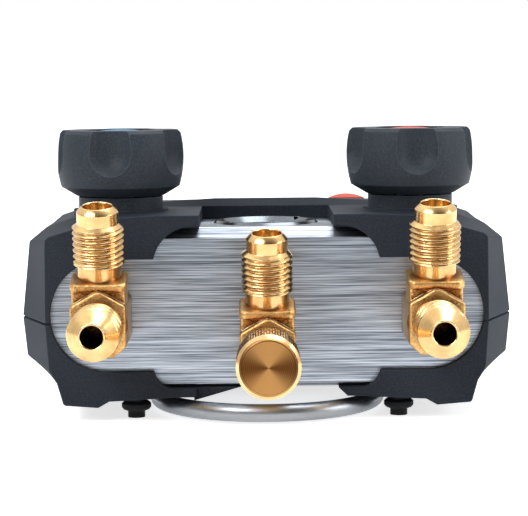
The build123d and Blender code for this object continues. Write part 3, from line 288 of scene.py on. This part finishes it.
finishes = {
    # ABS shells with a spark-eroded sand texture: very matte, with only their edges rubbed paler
    "housing": moulded_plastic("moulded_abs_housing", "#262b33", "#414853", grain_mm=0.45, depth_mm=0.06,
                               roughness=0.58, edge_mm=0.4, shine=0.08),
    # glass-filled nylon knobs: a coarser grain, and pale rims, partly worn by fingers and partly a painted
    # highlight
    "knob": moulded_plastic("moulded_nylon_knob", "#2a3037", "#4b535f", grain_mm=0.5, depth_mm=0.1,
                            roughness=0.52, edge_mm=0.28, wear_and_sheen=0.9, shine=0.16),
    # moulded rubber posts and feet: black, with a soft bloom that hides the highlights
    "rubber": moulded_plastic("moulded_black_rubber", "#15171a", "#26292d", grain_mm=0.8, depth_mm=0.08,
                              roughness=0.62, edge_mm=0.25, shine=0.25),
    # through-coloured discs and button, moulded smooth: clean colour with a satin sheen
    "red": moulded_plastic("moulded_red_plastic", "#b53f2c", "#cf6f5a", grain_mm=0.6, depth_mm=0.02,
                           roughness=0.42, wear_and_sheen=0.3, shine=0.2),
    "blue": moulded_plastic("moulded_blue_plastic", "#2c6690", "#5e93b6", grain_mm=0.6, depth_mm=0.02,
                            roughness=0.42, wear_and_sheen=0.3, shine=0.2),
    # hard key caps: fine-grained grey that thumbs polish
    "key": moulded_plastic("moulded_key_cap", "#585e67", "#7b828c", grain_mm=0.4, depth_mm=0.03,
                           roughness=0.45),
    # silicone mat under the keys: pale, soft and dull
    "silicone": moulded_plastic("moulded_grey_silicone", "#8b9096", "#a4a9ae", grain_mm=0.9, depth_mm=0.03,
                                roughness=0.6),
    # moulded nylon sockets: black, and a little glossier than the shells
    "socket": moulded_plastic("moulded_black_socket", "#1b1d20", "#303338", grain_mm=0.5, depth_mm=0.03,
                              roughness=0.4),
    # screen-printed solder mask: glossy green that thickens and thins over the copper under it
    "board": moulded_plastic("green_solder_mask", "#1d5a38", "#2f7a4d", grain_mm=2.2, depth_mm=0.02,
                             roughness=0.35, edge_mm=0.1),
    # the reflector behind the liquid crystal: an even grey-green with a fine satin tooth
    "display": moulded_plastic("lcd_reflector", "#a9b3a4", "#bcc5b7", grain_mm=0.5, depth_mm=0.01,
                               roughness=0.55, edge_mm=0.1),
    # shrunk printed sleeves of the cells: smooth and a little uneven
    "cell": moulded_plastic("printed_cell_sleeve", "#3c4046", "#6b7078", grain_mm=3.0, depth_mm=0.02,
                            roughness=0.3, edge_mm=0.2),
    # darkened crystal segments, flat and even
    "segment": moulded_plastic("lcd_segment", "#1c2320", "#252d2a", grain_mm=0.6, depth_mm=0.01,
                               roughness=0.5, edge_mm=0.05, wear_and_sheen=0.0),
    # screen print behind the window: dense black that takes the window's gloss
    "print": moulded_plastic("black_screen_print", "#0c0d0f", "#141518", grain_mm=0.6, depth_mm=0.01,
                             roughness=0.4, edge_mm=0.05, wear_and_sheen=0.0),
    # pad-printed marks on the keys: pale, thin and even
    "pale_print": moulded_plastic("pale_pad_print", "#c9cdd2", "#dadde1", grain_mm=0.6, depth_mm=0.01,
                                  roughness=0.5, edge_mm=0.05, wear_and_sheen=0.0),
    "aluminium": brushed_aluminium(),
    # zinc-plated screws: pale, with short turned marks
    "steel": metal("zinc_plated_steel", "#8d939b", "#b7bdc5", 0.3, streak_mm=0.3, length_mm=3, axis=2),
    # nickel on the sight glass ring: the smoothest metal here, so it mirrors the room; its colour is painted
    # darker than bright nickel, a painted reflection of the dark housing round it
    "chrome": metal("nickel_plated_ring", "#5b6066", "#7c8187", 0.2, streak_mm=0.3, length_mm=3, axis=2),
    # drawn stainless wire: long die marks along it, and a wide soft highlight
    "wire": metal("drawn_stainless_wire", "#8b9096", "#adb2b8", 0.36, streak_mm=0.25, length_mm=14, axis=1),
    # annealed copper washers: reddish and dull
    "copper": metal("annealed_copper", "#b4683f", "#d18f63", 0.35, streak_mm=0.4, length_mm=3, axis=1),
    # hot-forged and tumbled: sandy and bright on its edges, and brown where it is hollow, partly tarnished
    # and partly painted shade; the grain is drawn twice as wide as it is, so that it shows
    "brass": brass("forged_brass", "#d9ae70", "#7c481c", 0.3, grain_mm=0.42, depth_mm=0.2, patches=0.5,
                   hollow_tarnish_and_shade=1.0, specks=0.4),
    # turned on a lathe: smooth and mirror-like, with a brown tint in the thread's roots, partly tarnished
    # and partly painted shade
    "brass_turned": brass("turned_brass", "#e4bf84", "#98602a", 0.18, grain_mm=0.5, depth_mm=0.002,
                          patches=0.4, hollow_tarnish_and_shade=0.6),
    # drilled bores, oiled, and painted nearly black inside: a painted shade for the dark depth of each bore
    "brass_bore": brass("brass_bore_painted_dark", "#3a1f0c", "#1c0f06", 0.5, grain_mm=0.5, depth_mm=0.01,
                        patches=0.5),
    # rolled knurl: polished points, with darker brass between them, partly tarnished and partly painted
    # shade
    "brass_cap": brass("knurled_brass", "#e8c48f", "#a86d33", 0.16, grain_mm=0.4, depth_mm=0.01,
                       patches=0.25),
    "cap_face": faced_brass((0, 0, CENTRE_Z)),
    # ground and polished borosilicate: clear, with a trace of green
    "glass": clear("borosilicate_glass", "#eef4f2", 0.02, 1.47),
    # hard-coated acrylic window with a slight smoke tint
    "lens": clear("hard_coated_acrylic", "#c9ced4", 0.03, 1.49),
}


# ---- mesh tools ----
def mesh_piece(name, mesh, slot, body="housing", smooth=40):
    """Puts a mesh in the scene as a piece, with its finish and the body it rides on."""
    mesh.validate()
    mesh.shade_smooth()
    mesh.set_sharp_from_angle(angle=math.radians(smooth))
    piece = bpy.data.objects.new(name, mesh)
    bpy.context.scene.collection.objects.link(piece)
    mesh.materials.append(finishes[slot])
    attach(piece, body)
    return piece


def finished_mesh(name, surface):
    """A mesh from a bmesh, with its faces turned outwards."""
    bmesh.ops.recalc_face_normals(surface, faces=surface.faces)
    mesh = bpy.data.meshes.new(name)
    surface.to_mesh(mesh)
    return mesh


def axis_frame(origin, ahead):
    """A frame at origin whose Z runs along ahead, and whose X is level."""
    along = ahead.normalized()
    side = Vector((1, 0, 0))
    across = (side - along * side.dot(along)).normalized()
    other = along.cross(across)
    return Matrix((
        (across.x, other.x, along.x, origin.x),
        (across.y, other.y, along.y, origin.y),
        (across.z, other.z, along.z, origin.z),
        (0, 0, 0, 1),
    ))


def middle(box):
    low, high = box
    return (low + high) / 2


def ladder(start, end, count):
    """count + 1 even steps from start to end."""
    return [start + (end - start) * index / count for index in range(count + 1)]


def lathe(surface, rings, frame_of, segments, ripple=None):
    """Adds a turned surface to a bmesh: rings are (radius, distance along the axis), and ripple(angle,
    distance, radius) changes the radius, as a thread or a knurl does."""
    loops = []
    for radius, distance in rings:
        loop = []
        for step in range(segments):
            angle = 2 * math.pi * step / segments
            grown = radius + (ripple(angle, distance, radius) if ripple else 0)
            spot = Vector((grown * math.cos(angle), grown * math.sin(angle), distance))
            loop.append(surface.verts.new(frame_of @ (spot * MM)))
        loops.append(loop)
    for below, above in zip(loops, loops[1:]):
        for step in range(segments):
            after = (step + 1) % segments
            surface.faces.new((below[step], below[after], above[after], above[step]))
    return loops


def turned_piece(name, rings, frame_of, segments, slot, ripple=None, smooth=28, body="housing"):
    """A turned piece from its (radius, distance) rings."""
    surface = bmesh.new()
    lathe(surface, rings, frame_of, segments, ripple)
    return mesh_piece(name, finished_mesh(name, surface), slot, body, smooth)


def prism(surface, frame_of, outline, start, end):
    """Adds a closed prism to a bmesh: outline holds (u, v) corners, and start and end are along Z."""
    ends = [[surface.verts.new(frame_of @ (Vector((u, v, w)) * MM)) for u, v in outline]
            for w in (start, end)]
    count = len(outline)
    for step in range(count):
        after = (step + 1) % count
        surface.faces.new((ends[0][step], ends[0][after], ends[1][after], ends[1][step]))
    surface.faces.new(ends[0][::-1])
    surface.faces.new(ends[1])


def rounded_prisms(name, prisms, offset):
    """A solid of several prisms with every edge rounded, as a forging's are."""
    solid = bmesh.new()
    for frame_of, outline, start, end in prisms:
        prism(solid, frame_of, outline, start, end)
    bmesh.ops.recalc_face_normals(solid, faces=solid.faces)
    bmesh.ops.bevel(solid, geom=solid.edges[:], offset=offset * MM, segments=3, affect="EDGES", profile=0.6)
    mesh = bpy.data.meshes.new(name)
    solid.to_mesh(mesh)
    return mesh


# ---- hose fittings ----
def thread(start, end):
    """The depth below the crest of a cut thread, which fades out at both ends."""
    def depth(angle, distance, radius):
        if not start <= distance <= end:
            return 0
        phase = (distance / PITCH - angle / (2 * math.pi)) % 1
        wave = abs(2 * phase - 1)
        cut = min(1, max(0, (wave - 0.1) / 0.78))  # a flat crest, a flank and a flat root
        fade = min(1, (distance - start) / 0.5, (end - distance) / 0.7)
        return -cut * (CREST - ROOT) * max(0, fade)
    return depth


def parking_port(name, park):
    """The leaning port: neck, thread, pilot, and a chamfered tip with an open mouth down to the bore."""
    tip = PARK_LENGTH
    shoulder = tip - PILOT_LENGTH
    neck = shoulder - THREAD_LENGTH
    rings = [(NECK, 4.0), (NECK, neck - 0.25), (4.9, neck)]
    rings += [(CREST, z) for z in ladder(neck + 0.02, shoulder, 58)]
    rings += [(4.62, shoulder + 0.65), (PILOT, shoulder + 0.75), (PILOT, tip - 1.25), (4.42, tip - 1.12)]
    rings += [(3.46, tip - 0.07), (3.36, tip), (3.2, tip - 0.04), (3.1, tip - 0.2), (2.95, tip - 3.0)]
    rings += [(BORE, tip - 4.0)]
    turned_piece(name + "_park_thread", rings, park, TURNED_SIDES, "brass_turned",
                 thread(neck, shoulder + 0.4))


def hose_port(name, port):
    """The hose port: a flange into the forging, neck, thread and the 45 degree seat with its tool
    marks. Returns the last piece."""
    tip = PORT_LENGTH
    shoulder = tip - SEAT_LENGTH
    neck = shoulder - THREAD_LENGTH - 1.5
    rings = [(6.3, 19.0), (5.2, 21.3), (NECK, 22.0), (NECK, neck - 0.3), (4.9, neck)]
    rings += [(CREST, z) for z in ladder(neck + 0.02, shoulder, 66)]
    rings += [(5.45, shoulder + 0.1)]
    for step in range(TOOL_MARKS + 1):
        along = step / TOOL_MARKS
        mark = 0.014 * (step % 2)
        rings.append((5.2 - 2.25 * along + mark, shoulder + 0.28 + (tip - shoulder - 0.63) * along + mark))
    rings += [(2.8, tip - 0.06), (2.62, tip), (BORE, tip - 0.14)]
    return turned_piece(name + "_hose_thread", rings, port, TURNED_SIDES, "brass_turned",
                        thread(neck, shoulder + 0.2))


def forged_body(name, park, port, flat):
    """The forging: a square leg under a collar, with a saddle between them, crossed by the roofed
    branch that carries the hose port."""
    leg = [(-5.8, 3.6), (-3.8, 5.8), (3.8, 5.8), (5.8, 3.6), (5.8, -5.1), (-5.8, -5.1)]
    collar = [(-6.1, 3.2), (-6.1, -4.9), (-5.0, -6.1), (5.0, -6.1), (6.1, -4.9), (6.1, 3.2), (3.8, 5.7),
              (-3.8, 5.7)]
    saddle = [(-5.0, 8.9), (-0.7, 7.1), (0.7, 7.1), (5.0, 8.9), (5.0, 9.7), (-5.0, 9.7)]
    roof = [(-6, 4.3), (-6, -4.4), (-3.4, -6.7), (3.4, -6.7), (6, -4.4), (6, 4.3), (0.6, 7.4), (-0.6, 7.4)]
    prisms = ((park, leg, 0.0, 9.2), (park, collar, 8.5, 10.3), (flat, saddle, 0.0, 5.9),
              (port, roof, 0.0, FORGING_REACH))
    mesh_piece(name + "_forging", rounded_prisms(name + "_forging", prisms, FORGING_EDGE), "brass")


def forged_fitting(name, x, z):
    """One brass hose fitting, with its forging, hose port, leaning parking port and both bores."""
    up = Vector((0, -math.sin(PARK_LEAN), math.cos(PARK_LEAN)))
    root = Vector((x, BLOCK_FACE - PARK_AHEAD * MM, z))
    park = axis_frame(root, up)
    port = axis_frame(Vector((x, BLOCK_FACE, z)), Vector((0, -1, 0)))
    flat = axis_frame(root, Vector((0, -math.cos(PARK_LEAN), -math.sin(PARK_LEAN))))
    forged_body(name, park, port, flat)
    parking_port(name, park)
    piece = hose_port(name, port)
    tip = PARK_LENGTH
    turned_piece(name + "_park_bore", [(BORE, tip - 4.0), (2.4, tip - 12), (0.4, tip - 13)], park, 48,
                 "brass_bore")
    turned_piece(name + "_hose_bore", [(BORE, 37.86), (BORE, 36), (2.4, 4), (0.1, 3)], port, 48,
                 "brass_bore")
    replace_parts(piece, name)


def cap_end(cap):
    """The faced end of the cap, a hair inside its rim, with its chamfer and the disc that backs it."""
    end = bmesh.new()
    loops = lathe(end, [(5.5, -0.04), (5.62, 0.0), (5.8, -0.1), (6.05, -0.55)], cap, 128)
    lathe(end, [(0.02, -0.1)] + [(r, -0.1) for r in (1, 2, 3, 4, 5, 5.45)] + [(5.5, -0.04)], cap, 128)
    end.faces.new(loops[0])
    bmesh.ops.remove_doubles(end, verts=end.verts, dist=1e-6)
    return mesh_piece("cap_face", finished_mesh("cap_face", end), "cap_face", "port_cap", 50)


def knurled_cap():
    """The brass cap on the middle port: a faced end, a bright chamfer and a fine diamond knurl."""
    cap = axis_frame(Vector((0, CAP_FACE, CENTRE_Z)), Vector((0, -1, 0)))
    first, last = -1.5, -12.9

    def knurl(angle, distance, radius):
        if radius < CAP_RADIUS - 0.05 or not last <= distance <= first:
            return 0
        turn = KNURL_ROWS * angle / (2 * math.pi)
        right_hand = abs(2 * ((turn + distance / KNURL_LEAD) % 1) - 1)
        left_hand = abs(2 * ((turn - distance / KNURL_LEAD) % 1) - 1)
        return -KNURL_DEPTH * (1 - min(right_hand, left_hand))

    rings = [(6.05, -0.55), (6.74, -1.3)] + [(CAP_RADIUS, z) for z in ladder(first, last, 66)]
    rings += [(6.6, -13.2), (6.15, -CAP_LENGTH), (5.62, -CAP_LENGTH), (5.62, -4.0)]
    turned_piece("cap_knurl", rings, cap, 6 * KNURL_ROWS, "brass_cap", knurl, 30, "port_cap")
    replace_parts(cap_end(cap), "port_cap")


# ---- display and keys ----
def on_face(u, v, w):
    """A frame on the display face: u across, v up the device from the lip, w out of the face."""
    up_face = Vector((0, math.cos(FACE_TILT), -math.sin(FACE_TILT)))
    out = Vector((0, math.sin(FACE_TILT), math.cos(FACE_TILT)))
    return axis_frame(FACE_ORIGIN + (Vector((u, 0, 0)) + up_face * v + out * w) * MM, out)


def flat_marks(name, shapes, spot, slot, body="housing", thickness=0.06):
    """Thin marks at a frame on or behind the display face, from corner lists."""
    marks = bmesh.new()
    for shape in shapes:
        prism(marks, spot, shape, 0.0, thickness)
    return mesh_piece(name, finished_mesh(name, marks), slot, body)


def bar(left, low, right, high):
    """A rectangle's corner list."""
    return [(left, low), (right, low), (right, high), (left, high)]


SEGMENTS = {"0": "abcdef", "1": "bc", "2": "abged", "3": "abgcd", "4": "fgbc", "5": "afgcd", "6": "afgedc",
            "7": "abc", "8": "abcdefg", "9": "abcdfg"}


def segment_shapes(sign, left, low, wide, tall, stroke):
    """The lit segments of one seven-segment figure: six-cornered bars with pointed ends."""
    centre, top = low + tall / 2, low + tall
    level = {"a": top, "g": centre, "d": low}
    upright = {"f": (left, centre), "e": (left, low), "b": (left + wide, centre), "c": (left + wide, low)}
    gap, half = stroke * 0.62, stroke / 2
    shapes = []
    for name in SEGMENTS[sign]:
        if name in level:
            y, right = level[name], left + wide
            shapes.append([(left + gap, y - half), (right - gap, y - half), (right - gap / 3, y),
                           (right - gap, y + half), (left + gap, y + half), (left + gap / 3, y)])
        else:
            x, foot = upright[name]
            head = foot + tall / 2
            shapes.append([(x - half, foot + gap), (x, foot + gap / 3), (x + half, foot + gap),
                           (x + half, head - gap), (x, head - gap / 3), (x - half, head - gap)])
    return shapes


def number_shapes(text, centre, low, tall):
    """Seven-segment figures as corner lists, centred on centre, with their feet at low."""
    wide, stroke = tall * 0.52, tall * 0.11
    gap, point_gap = stroke * 3, stroke * 2.2
    figures = len(text.replace(".", ""))
    left = centre - (figures * (wide + gap) - gap + text.count(".") * point_gap) / 2
    shapes = []
    for sign in text:
        if sign == ".":
            shapes.append(bar(left, low, left + stroke, low + stroke))
            left += point_gap
        else:
            shapes += segment_shapes(sign, left, low, wide, tall, stroke)
            left += wide + gap
    return shapes


def arc_of_bars(u, v, radius, width, start, end, count):
    """A row of bars round an arc, as corner lists; angles in degrees."""
    shapes = []
    for index in range(count):
        first = math.radians(start + (end - start) * (index + 0.12) / count)
        last = math.radians(start + (end - start) * (index + 0.82) / count)
        shapes.append([(u + r * math.cos(a), v + r * math.sin(a)) for r, a in
                       ((radius, first), (radius + width, first), (radius + width, last), (radius, last))])
    return shapes


def lcd_figures():
    """Two dials of bars with their figures, one for each side of the system, over two readings."""
    shapes = []
    for u, text in ((-DIAL_U, "3.42"), (DIAL_U, "12.6")):
        shapes += arc_of_bars(u, 6, 11.0, 2.4, 225, -45, 24)
        shapes += number_shapes(text, u, 2.6, 6.4)
    shapes += number_shapes("18.5", -16.5, -20.0, 5.8)
    shapes += number_shapes("42.0", 16.5, -20.0, 5.8)
    shapes.append(bar(-31, -8.6, 31, -8.2))
    shapes.append(bar(-0.2, -24, 0.2, -10))
    flat_marks("lcd_figures", shapes, on_face(0, WINDOW_V, FIGURES_W), "segment")


def window_border():
    """The black border printed behind the window."""
    wide, tall, clear_wide, clear_tall = 36.6, 32.6, 32.6, 28.6
    shapes = [
        bar(-wide, -tall, wide, -clear_tall),
        bar(-wide, clear_tall, wide, tall),
        bar(-wide, -clear_tall, -clear_wide, clear_tall),
        bar(clear_wide, -clear_tall, wide, clear_tall),
    ]
    flat_marks("window_border", shapes, on_face(0, WINDOW_V, PRINT_W), "print", thickness=0.04)


def key_marks():
    """A pale printed mark on each key: four arrows, a list and a ring."""
    arrow = [(-1.9, -1.2), (1.9, -1.2), (0, 1.5)]
    marks = {
        "upper_middle": [arrow],
        "lower_middle": [[(u, -v) for u, v in arrow]],
        "lower_left": [[(-v, u) for u, v in arrow]],
        "lower_right": [[(v, -u) for u, v in arrow]],
        "upper_left": [bar(-1.9, v - 0.3, 1.9, v + 0.3) for v in (-1.2, 0, 1.2)],
        "upper_right": arc_of_bars(0, 0, 0.9, 0.6, 0, 360, 8),
    }
    for row, v in KEY_ROWS:
        for column, u in KEY_COLUMNS:
            key = row + "_" + column
            flat_marks("mark_" + key, marks[key], on_face(u, v, MARK_W), "pale_print", "key_" + key)


# ---- knobs and probe sockets ----
def knob_insert(side, slot):
    """The coloured disc sunk in the top of a knob: a low crown inside a raised ring."""
    node = "knob_insert_" + side
    spot = middle(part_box(node))
    spot.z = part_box("knob_" + side)[1].z
    rings = [(INSERT_RADIUS, -1.6), (INSERT_RADIUS, -0.75), (7.8, -0.6), (7.0, -0.52), (6.9, -0.62),
             (6.5, -0.62), (CROWN_RADIUS, -0.5)]
    rings += [(r, 0.12 - 0.62 * (r / CROWN_RADIUS) ** 2) for r in (5.6, 4.8, 4.0, 3.2, 2.4, 1.6, 0.8, 0.02)]
    piece = turned_piece(node + "_crown", rings, axis_frame(spot, Vector((0, 0, 1))), 72, slot,
                         body="knob_" + side)
    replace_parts(piece, node)


def probe_pins(side):
    """Six gilt pins standing in a probe socket."""
    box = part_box("probe_socket_" + side)
    floor = middle(box)
    floor.y = box[1].y - SOCKET_DEPTH * MM
    socket = axis_frame(floor, Vector((0, 1, 0)))
    pins = bmesh.new()
    for index in range(PINS):
        angle = 2 * math.pi * index / PINS
        spot = Vector((math.cos(angle), math.sin(angle), 0)) * PIN_CIRCLE * MM
        lathe(pins, [(0.5, 0), (0.5, 4.2), (0.35, 4.7), (0.02, 4.9)], socket @ Matrix.Translation(spot), 16)
    mesh_piece("probe_pins_" + side, finished_mesh("probe_pins", pins), "brass_turned")


# ---- camera, light and floor ----
def aim_camera():
    """A long lens in front of the hose ports, looking slightly down on them."""
    spot = Vector((-0.0026, -0.5099, 0.07677))
    yaw, pitch, roll = math.radians(0.27), math.radians(-5.3), math.radians(-0.53)
    ahead = Vector((math.sin(yaw) * math.cos(pitch), math.cos(yaw) * math.cos(pitch), math.sin(pitch)))
    across = Vector((math.cos(yaw), -math.sin(yaw), 0))
    up = across.cross(ahead)
    right = across * math.cos(roll) + up * math.sin(roll)
    top = up * math.cos(roll) - across * math.sin(roll)
    data = bpy.data.cameras.new("camera")
    data.sensor_width = 36
    data.sensor_fit = "HORIZONTAL"
    data.lens = 133.57
    data.clip_start = 0.02
    camera = bpy.data.objects.new("camera", data)
    camera.matrix_world = Matrix((
        (right.x, top.x, -ahead.x, spot.x),
        (right.y, top.y, -ahead.y, spot.y),
        (right.z, top.z, -ahead.z, spot.z),
        (0, 0, 0, 1),
    ))
    bpy.context.scene.collection.objects.link(camera)
    bpy.context.scene.camera = camera


def softbox(name, spot, width, height, power):
    """A rectangular softbox aimed at the instrument."""
    data = bpy.data.lights.new(name, "AREA")
    data.shape = "RECTANGLE"
    data.size = width
    data.size_y = height
    data.energy = power
    lamp = bpy.data.objects.new(name, data)
    lamp.location = spot
    lamp.rotation_euler = (Vector((0, 0, 0.03)) - Vector(spot)).to_track_quat("-Z", "Y").to_euler()
    bpy.context.scene.collection.objects.link(lamp)


def ray_kinds(tree):
    """Two masks: rays from the camera, and rays that metal mirrors or glass lets through."""
    path = add(tree, "LightPath")
    mirrored = add(tree, "Math", {0: path.outputs["Is Glossy Ray"], 1: path.outputs["Is Transmission Ray"]},
                   operation="MAXIMUM")
    return path.outputs["Is Camera Ray"], mirrored.outputs[0]


def light_world():
    """A white studio to the camera. Metal and glass mirror it with a dim near side and a bright ceiling,
    which model their curves, and the object gets a soft even fill."""
    world = bpy.data.worlds.new("studio")
    world.use_nodes = True
    tree = world.node_tree
    tree.nodes.clear()
    from_camera, mirrored = ray_kinds(tree)
    seen = add(tree, "Math", {0: mirrored, 1: from_camera}, operation="MAXIMUM")
    place = add(tree, "TexCoord")
    split = add(tree, "SeparateXYZ", {0: place.outputs["Generated"]})
    far_side = add(tree, "MapRange", {"Value": split.outputs[1], 1: -0.85, 2: 0.45, 3: 0.05, 4: 1.0},
                   interpolation_type="SMOOTHSTEP")
    ceiling = add(tree, "MapRange", {"Value": split.outputs[2], 1: 0.45, 2: 0.95, 3: 1.0, 4: 1.9},
                  interpolation_type="SMOOTHSTEP")
    room = add(tree, "Math", {0: far_side.outputs[0], 1: ceiling.outputs[0]}, operation="MULTIPLY")
    shown = add(tree, "Mix", {0: from_camera, 2: room.outputs[0], 3: 1.0}, data_type="FLOAT")
    strength = add(tree, "Mix", {0: seen.outputs[0], 2: 0.3, 3: shown.outputs[0]}, data_type="FLOAT")
    sky = add(tree, "Background", {"Color": (1, 1, 1, 1), "Strength": strength.outputs[0]})
    add(tree, "OutputWorld", {"Surface": sky.outputs[0]})
    bpy.context.scene.world = world


def matt_white_floor():
    """Matt white paper with a fine tooth and a painted glow, which lifts it to white away from the object
    and less near it, so that it keeps the object's shadow and stays a little darker round it, a painted
    shade. Metal mirrors the glow, dimmer on the near side."""
    material, tree, place = new_material("matt_white_floor")
    tooth = add(tree, "TexNoise", {"Vector": place, "Scale": per(3), "Detail": 3.0})
    rough = add(tree, "MapRange", {"Value": tooth.outputs["Fac"], 3: 0.75, 4: 0.9})
    from_camera, mirrored = ray_kinds(tree)
    split = add(tree, "SeparateXYZ", {0: place})
    far_side = add(tree, "MapRange", {"Value": split.outputs[1], 1: -0.5, 2: 0.1, 3: 0.1, 4: 1.0})
    shine = add(tree, "Math", {0: mirrored, 1: far_side.outputs[0]}, operation="MULTIPLY")
    seen = add(tree, "Math", {0: shine.outputs[0], 1: from_camera}, operation="MAXIMUM")
    reach = add(tree, "VectorMath", {0: place}, operation="LENGTH")
    # painted glow: weaker near the object, so the floor round it stays a little darker, a painted shade
    glow = add(tree, "MapRange", {"Value": reach.outputs["Value"], 1: 0.2, 2: 1.2, 3: 0.72, 4: 0.95})
    painted_glow = add(tree, "Math", {0: seen.outputs[0], 1: glow.outputs[0]}, operation="MULTIPLY")
    close(tree, {"Base Color": linear("#f4f5f6"), "Roughness": rough.outputs[0],
                 "Emission Color": (1, 1, 1, 1), "Emission Strength": painted_glow.outputs[0]})
    return material


def pale_floor():
    """A plain white floor under the object."""
    sweep = bmesh.new()
    bmesh.ops.create_grid(sweep, x_segments=2, y_segments=2, size=3.0)
    mesh = bpy.data.meshes.new("floor")
    sweep.to_mesh(mesh)
    mesh.materials.append(matt_white_floor())
    floor = bpy.data.objects.new("floor", mesh)
    bpy.context.scene.collection.objects.link(floor)


for entry in frame["record"]["subparts"]:
    cad = nodes[entry["node"]]
    cad.data.materials.clear()
    cad.data.materials.append(finishes[entry["material_slot"]])

for side, x in (("left", -PORT_X), ("right", PORT_X)):
    forged_fitting("fitting_" + side, x, PORT_Z)
forged_fitting("fitting_centre", 0.0, CENTRE_Z)
knurled_cap()
lcd_figures()
window_border()
key_marks()
probe_pins("left")
probe_pins("right")
knob_insert("left", "blue")
knob_insert("right", "red")

aim_camera()
light_world()
softbox("key_softbox", (-0.5, -0.55, 0.62), 0.6, 0.45, 6.8)
softbox("top_softbox", (0.15, 0.1, 0.8), 0.7, 0.5, 5.0)
softbox("side_softbox", (0.75, -0.3, 0.35), 0.35, 0.5, 3.0)
pale_floor()

bpy.context.scene.view_settings.view_transform = "Standard"
